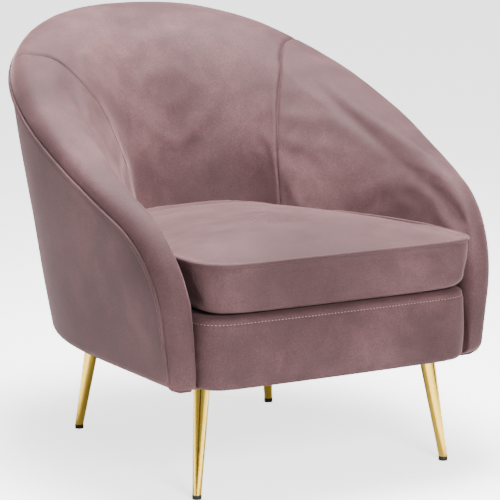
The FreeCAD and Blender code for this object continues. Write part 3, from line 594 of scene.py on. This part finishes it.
def stitches(name, path, out, length, gap, radius, material):
    """A row of short raised stitches along a path; out is the cloth's outward direction."""
    along = lengths_along(path)
    sides, shares = 6, np.linspace(0.0, 1.0, 5)
    sizes = (0.55, 1.0, 1.0, 1.0, 0.55)
    turns = np.linspace(0.0, 2.0 * math.pi, sides, endpoint=False)
    points, faces = [], []
    for start in np.arange(gap, along[-1] - length, length + gap):
        spots = start + length * shares
        centre = np.stack([np.interp(spots, along, path[:, k]) for k in range(3)], axis=-1)
        lift = np.stack([np.interp(spots, along, out[:, k]) for k in range(3)], axis=-1)
        centre = centre + lift * (radius * (1.3 * np.sin(math.pi * shares) - 0.5))[:, None]
        way = centre[-1] - centre[0]
        upward = np.cross(way / np.linalg.norm(way), lift[2])
        index = len(points) + np.arange(len(sizes) * sides).reshape(len(sizes), sides)
        for c, size in zip(centre, sizes):
            for t in turns:
                points.append(c + radius * size * (lift[2] * math.cos(t) + upward * math.sin(t)))
        faces += ring_faces(index)
    return soft_mesh(name, np.array(points), faces, material)


lift = np.concatenate([outward, np.zeros((len(plan), 1))], axis=1)
topstitch = stitches("border_topstitch", box[:, stitch_row], lift, 0.0042, 0.0026, 0.00055, thread)
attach(topstitch, "frame")


# ---------------------------------------------------------------- cushion
# A loose box cushion, narrowing between the arms to fit against the back. Its upper
# face is crowned and edged with a cord; its lower edge is soft and cordless.
CUSHION_FRONT = 0.441
CUSHION_HALF = 0.284
CUSHION_CORNER = 0.062
CUSHION_BASE = 0.342
CUSHION_EDGE = 0.431             # level of the cord
CUSHION_ROUND = 0.026            # radius of the soft lower edge
CUSHION_DRAW = 0.006             # how far the lower edge stands in from the cord
CUSHION_CROWN = 0.034
CUSHION_REARS = (0.1355, 0.156)  # below and above the zip


def resample(path, count):
    """A closed path cut into equal steps."""
    closed = np.concatenate([path, path[:1]])
    along = lengths_along(closed)
    spots = np.linspace(0.0, along[-1], count, endpoint=False)
    return np.stack([np.interp(spots, along, line) for line in closed.T], axis=-1)


def smoothed(path, times):
    """A closed path with its corners softened."""
    for _ in range(times):
        path = 0.5 * path + 0.25 * (np.roll(path, 1, axis=0) + np.roll(path, -1, axis=0))
    return path


def wall_inside(station, level, gap):
    """Plan points of the padded wall's inner face, a gap inside it."""
    crest = rim_height(station) + ROLL_RISE
    share = np.minimum((crest - level) / belly_drop(crest - BASE), 1.0)
    thick = thickness(wall_depth(outer_face(station, crest - ROLL_RISE)[..., 1]), share)
    point = outer_face(station, level) + inward(station) * (thick + gap)[..., None]
    return point[..., :2]


side = wall_inside(np.linspace(0.0, 1.62, 120), 0.44, 0.003)
side = side[np.concatenate([[True], np.diff(side[:, 1]) < 0.0])]
side = side[side[:, 1] > -0.27]
side[:, 0] = np.minimum(side[:, 0], CUSHION_HALF)
turn = np.linspace(0.0, math.pi / 2.0, 12)
corner = np.stack([CUSHION_HALF - CUSHION_CORNER + CUSHION_CORNER * np.cos(turn),
                   CUSHION_CORNER - CUSHION_FRONT - CUSHION_CORNER * np.sin(turn)], axis=-1)
half_plan = np.concatenate([side, corner])
edge = np.concatenate([half_plan, (half_plan * [-1.0, 1.0])[::-1]])
edge = smoothed(resample(edge, 300), 14)
middle = np.array([0.0, -0.16])


def cushion_form():
    """Closed cushion: rings from the middle of the base, up the side, over the crown."""
    outwards = outward_of(edge, np.roll(edge, -1, axis=0) - np.roll(edge, 1, axis=0), middle)
    side_foot = CUSHION_BASE + CUSHION_ROUND
    rings = []
    for share in np.linspace(0.04, 0.93, 22):
        rings.append((middle + (edge - outwards * 0.030 - middle) * share, CUSHION_BASE))
    for turn in np.linspace(0.0, math.pi / 2.0, 8):
        draw = CUSHION_DRAW + CUSHION_ROUND * (1.0 - math.sin(turn))
        rings.append((edge - outwards * draw, side_foot - CUSHION_ROUND * math.cos(turn)))
    for share in np.linspace(0.0, 1.0, 12)[1:]:
        draw = CUSHION_DRAW * (1.0 - share) - 0.003 * math.sin(math.pi * share)
        rings.append((edge - outwards * draw, mix(side_foot, CUSHION_EDGE, share)))
    for share in np.linspace(0.985, 0.03, 40):
        rise = 0.001 + CUSHION_CROWN * (1.0 - share ** 2.6) ** 0.8
        rings.append((middle + (edge - middle) * share, CUSHION_EDGE + rise))
    count = len(edge)
    points = np.array([np.column_stack([ring, np.full(count, level)]) for ring, level in rings])
    rear = mix(*CUSHION_REARS, np.clip((points[..., 2] - 0.404) / 0.022, 0.0, 1.0))
    points[..., 1] = np.minimum(points[..., 1], rear)
    poles = [[*middle, CUSHION_BASE], [*middle, CUSHION_EDGE + CUSHION_CROWN + 0.001]]
    index = np.arange(len(rings) * count).reshape(len(rings), count)
    faces = ring_faces(index)
    low, high = index.size, index.size + 1
    for this, following in zip(range(count), np.roll(np.arange(count), -1)):
        faces.append([int(index[0, following]), int(index[0, this]), low])
        faces.append([int(index[-1, this]), int(index[-1, following]), high])
    return soft_mesh("cushion_velvet", np.concatenate([points.reshape(-1, 3), poles]), faces, mauve)


cushion = cushion_form()
form = coordinates(cushion.data)
held = np.flatnonzero((np.abs(form[:, 2] - CUSHION_EDGE) < 0.0012)
                      | (form[:, 2] < CUSHION_BASE + 0.0005) | (form[:, 1] > 0.130))
settle(cushion, held, 2.0, 0.008)
crease = 0.0012 * ripple(form, 0.09, 2.2) + 0.0005 * ripple(form, 0.03, 7.7)
crease *= np.clip((form[:, 2] - CUSHION_BASE) / 0.02, 0.0, 1.0)
heading = np.array([v.normal for v in cushion.data.vertices])
move_points(cushion, heading * crease[:, None])
welt_line = np.column_stack([edge, np.full(len(edge), CUSHION_EDGE)])
cushion_cord = tube("cushion_cord", welt_line, 0.0036, mauve, closed=True)
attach(cushion, "cushion")
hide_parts("cushion_cover", "cushion_core")
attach(cushion_cord, "cushion")
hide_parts("cushion_welt")


# ---------------------------------------------------------------- platform
# The sprung platform under the cushion is a thin quilted layer, tacked to the seat rails
# and slightly sunk in the middle. Its dull woven cloth is a shade darker than the velvet.
DECK_EDGE = 0.331
DECK_TOP = 0.3413
DECK_SAG = 0.004
DECK_FRONT = 0.3625
DECK_HALF = 0.270
QUILT = 0.05


def plain(name, colour, second, scale, rough, metallic=0.0, bump=0.0):
    """A simple finish: two close shades broken up by noise."""
    material, tree, shader = new_material(name)
    place = add(tree, "ShaderNodeTexCoord").outputs["Object"]
    grain = add(tree, "ShaderNodeTexNoise", Vector=place, Scale=scale, Detail=4.0).outputs["Fac"]
    tint = add(tree, "ShaderNodeMix", {"data_type": "RGBA"}, _0=grain)
    tint.inputs[6].default_value = linear(colour)
    tint.inputs[7].default_value = linear(second)
    tree.links.new(tint.outputs[2], shader.inputs["Base Color"])
    shader.inputs["Roughness"].default_value = rough
    shader.inputs["Metallic"].default_value = metallic
    if bump:
        dents = add(tree, "ShaderNodeBump", Height=grain, Strength=0.4, Distance=bump)
        tree.links.new(dents.outputs["Normal"], shader.inputs["Normal"])
    return material


platform_cloth = plain("platform_cloth", "#4A3A3D", "#5A484B", 700.0, 0.85, 0.0, 0.0003)

deck_edge = wall_inside(np.linspace(1.62, -1.62, 160), 0.40, 0.006)[1:-1]
front_corners = [(-0.262, -DECK_FRONT), (0.262, -DECK_FRONT)]
deck_edge = smoothed(resample(np.concatenate([deck_edge, front_corners]), 200), 3)
deck_edge[:, 0] = np.clip(deck_edge[:, 0], -DECK_HALF, DECK_HALF)
deck_edge[:, 1] = np.maximum(deck_edge[:, 1], -DECK_FRONT)
spread = np.linspace(1.0, 0.0, 36)
deck = np.zeros((len(deck_edge) + 1, len(spread) + 1, 3))
around = np.concatenate([deck_edge, deck_edge[:1]])
deck[:, 0, :2], deck[:, 0, 2] = around, DECK_EDGE
deck[:, 1:, :2] = middle + (around - middle)[:, None] * spread[None, :, None]
deck[:, 1:, 2] = DECK_TOP - DECK_SAG * (1.0 - spread[None] ** 2)
waves = np.sin(deck[:, 1:, :2] / QUILT * math.pi)
deck[:, 1:, 2] -= 0.0008 * np.abs(waves[..., 0] * waves[..., 1]) ** 0.3
platform = grid_mesh("deck_platform", deck, platform_cloth)
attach(platform, "frame")
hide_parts("deck_cloth", "deck_foam")


# ---------------------------------------------------------------- legs
# Four slim tapering steel legs on small black nylon glides, screwed up to the seat box by
# plates. Their polished gold plating mirrors the room, warm yellow with a faint haze.
gold, tree, shader = new_material("polished_gold_steel")
place = add(tree, "ShaderNodeTexCoord").outputs["Object"]
haze = add(tree, "ShaderNodeTexNoise", Vector=place, Scale=40.0, Detail=3.0).outputs["Fac"]
rough = add(tree, "ShaderNodeMapRange", Value=haze, To_Min=0.05, To_Max=0.12).outputs[0]
tree.links.new(rough, shader.inputs["Roughness"])
tint = add(tree, "ShaderNodeMix", {"data_type": "RGBA"}, _0=haze)
tint.inputs[6].default_value = linear("#DDB23C")
tint.inputs[7].default_value = linear("#E8C455")
tree.links.new(tint.outputs[2], shader.inputs["Base Color"])
shader.inputs["Metallic"].default_value = 1.0

# Every other part keeps its own plain finish: soft grey zinc, blacked screws, moulded
# nylon with a dull gloss, felted black dust cloth, drawn spring wire, woven zip tape,
# matt fibreboard, open cut foam, and bare plywood for the frame.
finishes = {
    "leg_f": gold, "leg_r": gold,
    "leg_plate": plain("zinc_plated_steel", "#9A9C9E", "#B4B6B8", 90.0, 0.35, 1.0),
    "leg_screws": plain("black_oxide_screws", "#2A2A2C", "#38383A", 90.0, 0.4, 1.0),
    "glide": plain("black_nylon", "#121212", "#1C1C1C", 120.0, 0.45),
    "dust_cover": plain("black_nonwoven", "#1B1B1D", "#2B2B2E", 500.0, 0.9, 0.0, 0.0004),
    "seat_springs": plain("spring_steel", "#4A4C50", "#63666B", 60.0, 0.35, 1.0),
    "spring_clips": plain("clip_steel", "#55575A", "#6B6E72", 60.0, 0.4, 1.0),
    "deck": platform_cloth,
    "zip_slider": plain("zip_metal", "#6E6A66", "#8A8682", 80.0, 0.35, 1.0),
    "cushion_zip": plain("zip_tape", "#5E484C", "#725A5E", 600.0, 0.8, 0.0, 0.0003),
    "outer_panel": plain("fibreboard", "#8A6B4A", "#A07E58", 180.0, 0.8, 0.0, 0.0003),
    "foam": plain("cut_foam", "#D8CBA8", "#E4D9BA", 420.0, 0.95, 0.0, 0.0006),
}
wood = plain("birch_plywood", "#B8935F", "#CDA877", 60.0, 0.6, 0.0, 0.0002)
for node in bpy.data.objects:
    if node.type != "MESH" or (node.data.materials and node.data.materials[0] in (mauve, thread)):
        continue
    spare = "foam" if "foam" in node.name else None
    key = next((k for k in finishes if node.name.startswith(k)), spare)
    node.data.materials.clear()
    node.data.materials.append(finishes.get(key, wood))
    if key in ("leg_f", "leg_r", "glide"):
        node.data.polygons.foreach_set("use_smooth", [True] * len(node.data.polygons))


# ---------------------------------------------------------------- setting
# A plain pale floor. A large soft lamp hangs overhead, another stands in front, and a
# weak one fills the left.
floor_material = plain("pale_floor", "#FAFAFA", "#FCFCFC", 3.0, 0.75)
shader = floor_material.node_tree.nodes["Principled BSDF"]
shader.inputs["Emission Color"].default_value = linear("#FFFFFF")
tree = floor_material.node_tree
seen = add(tree, "ShaderNodeLightPath").outputs["Is Camera Ray"]
glow = add(tree, "ShaderNodeMapRange", Value=seen, To_Min=0.0, To_Max=2.2).outputs[0]
tree.links.new(glow, shader.inputs["Emission Strength"])
bpy.ops.mesh.primitive_plane_add(size=60.0, location=(0.0, 0.0, 0.0))
floor = bpy.context.active_object
floor.name = "floor"
floor.data.materials.append(floor_material)

world = bpy.data.worlds.new("studio")
bpy.context.scene.world = world
world.use_nodes = True
tree = world.node_tree
seen = add(tree, "ShaderNodeLightPath").outputs["Is Camera Ray"]
strength = add(tree, "ShaderNodeMapRange", Value=seen, To_Min=0.45, To_Max=4.0).outputs[0]
tree.nodes["Background"].inputs["Color"].default_value = linear("#FFFFFF")
tree.links.new(strength, tree.nodes["Background"].inputs["Strength"])


def lamp(name, place, target, size, power):
    """A square soft lamp of that size, turned to its target."""
    light = bpy.data.lights.new(name, "AREA")
    light.size = size
    light.energy = power
    holder = bpy.data.objects.new(name, light)
    bpy.context.scene.collection.objects.link(holder)
    holder.location = place
    holder.rotation_euler = (Vector(target) - Vector(place)).to_track_quat("-Z", "Y").to_euler()


lamp("key", (-0.5, -3.1, 1.8), (0.0, 0.0, 0.4), 1.0, 150.0)
lamp("overhead", (0.10, 0.05, 2.6), (0.0, -0.1, 0.4), 1.1, 300.0)
lamp("fill", (-2.4, 0.6, 1.6), (0.0, 0.0, 0.4), 1.4, 7.0)

# dark cards round the chair, seen only as stripes in the polished legs
CARD_DISTANCE = 2.0
card_material = plain("dark_card", "#0C0C0C", "#121212", 5.0, 0.8)
cards = (("card_front", 228.0, 0.55), ("card_left", 150.0, 0.5), ("card_right", 328.0, 0.6))
for name, bearing, width in cards:
    turn = math.radians(bearing)
    bpy.ops.mesh.primitive_plane_add(
        size=1.0, location=(CARD_DISTANCE * math.cos(turn), CARD_DISTANCE * math.sin(turn), 0.6),
        rotation=(math.radians(90.0), 0.0, turn + math.radians(90.0)))
    card = bpy.context.active_object
    card.name = name
    card.scale = (width, 1.2, 1.0)
    card.data.materials.append(card_material)
    card.visible_camera = False
    card.visible_shadow = False
    card.visible_diffuse = False

camera = bpy.data.cameras.new("camera")
camera.lens = 187.2
camera.sensor_width = 36.0
camera.clip_end = 50.0
eye = bpy.data.objects.new("camera", camera)
bpy.context.scene.collection.objects.link(eye)
eye.location = (-2.4323, -4.2481, 1.2675)
eye.rotation_euler = (math.radians(90.0 - 10.41), 0.0, math.radians(-30.32))
bpy.context.scene.camera = eye
